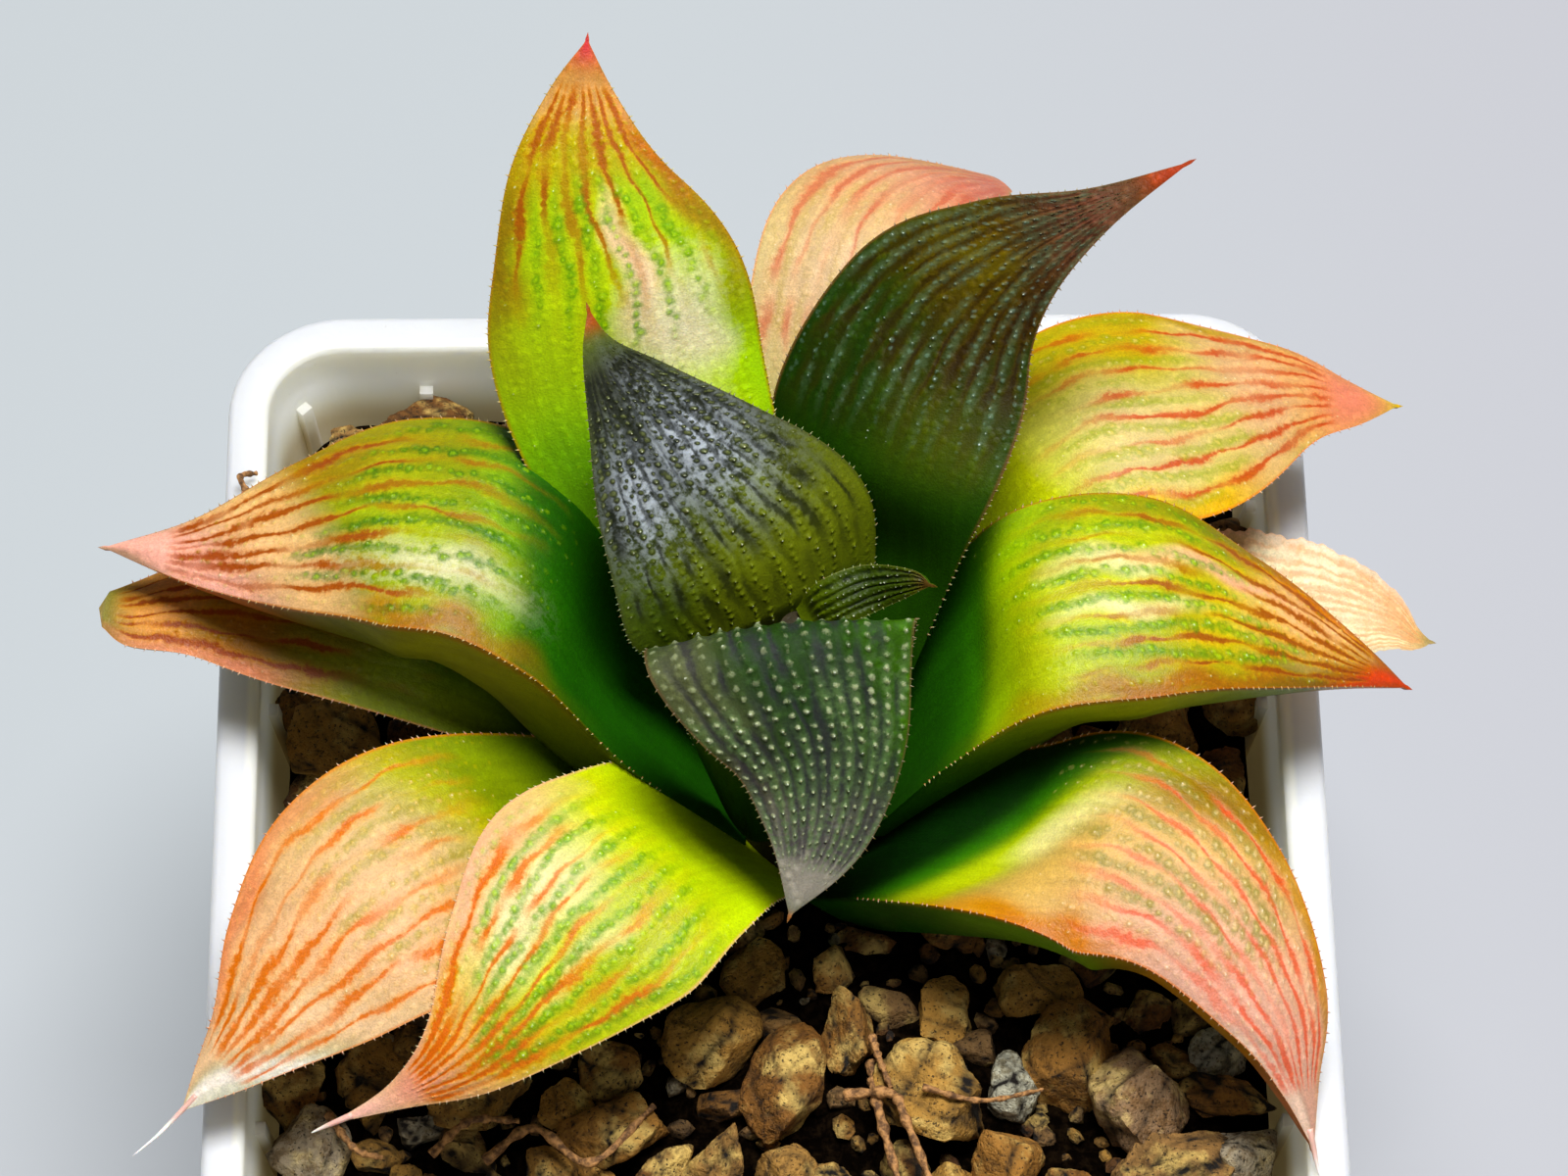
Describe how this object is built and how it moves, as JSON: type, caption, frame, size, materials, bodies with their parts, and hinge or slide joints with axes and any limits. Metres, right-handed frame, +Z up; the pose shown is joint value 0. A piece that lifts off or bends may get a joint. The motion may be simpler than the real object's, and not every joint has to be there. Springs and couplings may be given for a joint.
{
  "type": "potted haworthia",
  "caption": "Window-leaved haworthia rosette with thick tapering leaves, rooted in gravel in a square plastic pot.",
  "frame": {"origin": "middle of the pot's flat underside", "axes": "+Z up, -Y towards the front of the pot, from where the plant is seen"},
  "size_m": [0.0965, 0.0845, 0.1138],
  "materials": {
    "pot_plastic": "satin white moulded plastic",
    "gravel_stone": "rough tan and brown gravel",
    "stem_tissue": "fleshy stem and roots",
    "leaf_dark": "waxy dark green leaf with clear warts in rows",
    "leaf_lime": "waxy lime leaf with red lines",
    "leaf_peach": "waxy peach and orange leaf with red lines",
    "leaf_withered": "thin dry papery leaf"
  },
  "bodies": {
    "root": {"pot": "pot_plastic", "gravel": "gravel_stone", "stem": "stem_tissue", "leaf_01_youngest": "leaf_dark", "leaf_02_front": "leaf_dark", "leaf_03_back_left": "leaf_dark", "leaf_04_back_right": "leaf_dark", "leaf_05_right": "leaf_lime", "leaf_06_left": "leaf_lime", "leaf_07_back": "leaf_lime", "leaf_08_front_right": "leaf_peach", "leaf_09_front_left": "leaf_lime", "leaf_10_right_back": "leaf_peach", "leaf_11_left_front": "leaf_peach", "leaf_12_far_back": "leaf_peach", "leaf_13_left_low": "leaf_peach", "leaf_14_withered": "leaf_withered"}
  },
  "joints": []
}
